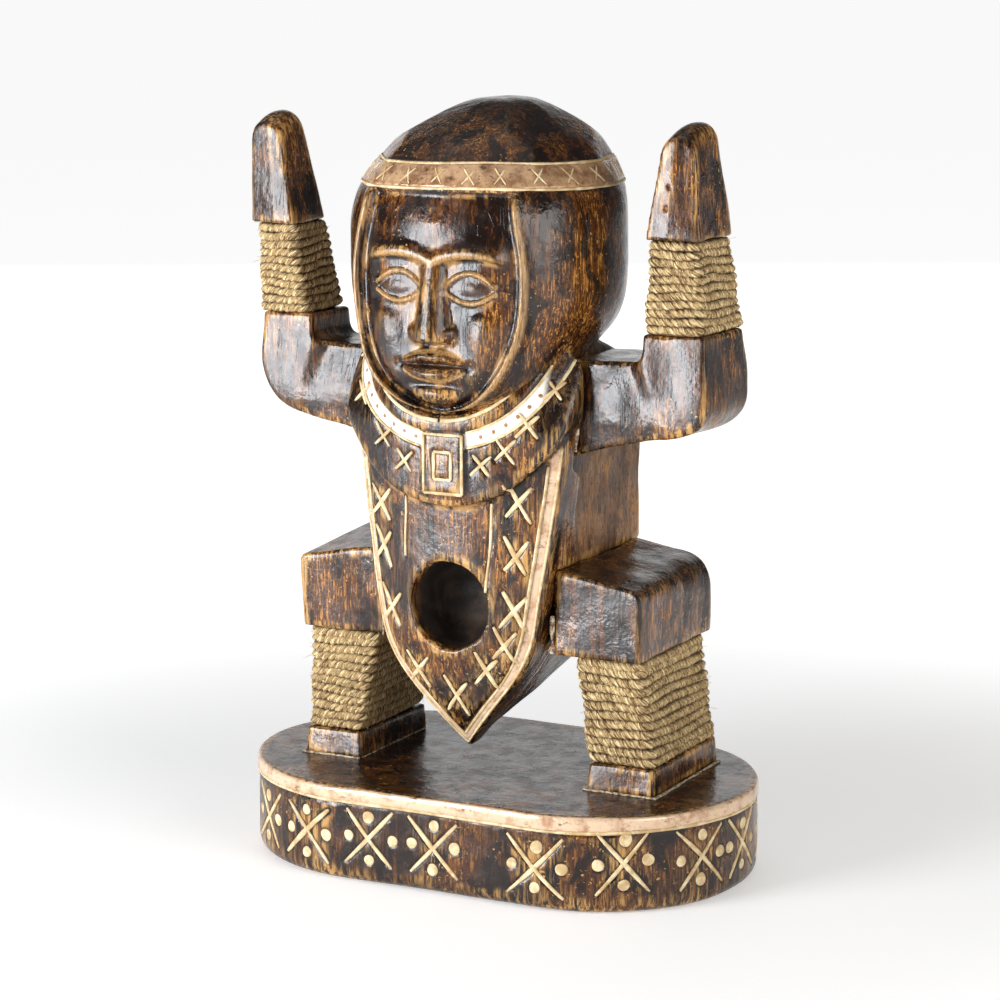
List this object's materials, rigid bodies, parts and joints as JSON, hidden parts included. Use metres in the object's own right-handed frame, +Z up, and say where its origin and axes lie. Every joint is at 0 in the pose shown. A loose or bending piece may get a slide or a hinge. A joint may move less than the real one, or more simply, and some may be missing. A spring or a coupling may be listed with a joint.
{
  "type": "carved ancestor figure",
  "caption": "Carved wooden ancestor figure with raised arms, pointed apron with round belly recess, rope-bound limbs, on an oval-ended plinth.",
  "frame": {"origin": "middle of the plinth's underside", "axes": "+Z up, the figure faces -Y, its own left side is +X"},
  "size_m": [0.34, 0.207, 0.49],
  "materials": {
    "stained_wood": "dark brown stain, waxed, ochre rub-through on edges",
    "dowel_wood": "raw",
    "sisal_rope": "natural twisted fibre",
    "steel": "zinc plated",
    "copper_paint": "rubbed copper paint",
    "cream_filler": "cream filler rubbed into cut lines"
  },
  "bodies": {
    "root": {"plinth": "stained_wood", "head_and_trunk": "stained_wood", "left_arm": "stained_wood", "right_arm": "stained_wood", "left_leg": "stained_wood", "right_leg": "stained_wood", "left_forearm_rope": "sisal_rope", "right_forearm_rope": "sisal_rope", "left_shin_rope": "sisal_rope", "right_shin_rope": "sisal_rope", "left_shoulder_dowels": "dowel_wood", "right_shoulder_dowels": "dowel_wood", "left_hip_dowels": "dowel_wood", "right_hip_dowels": "dowel_wood", "left_foot_screws": "steel", "right_foot_screws": "steel", "rope_tacks": "steel"}
  },
  "joints": []
}
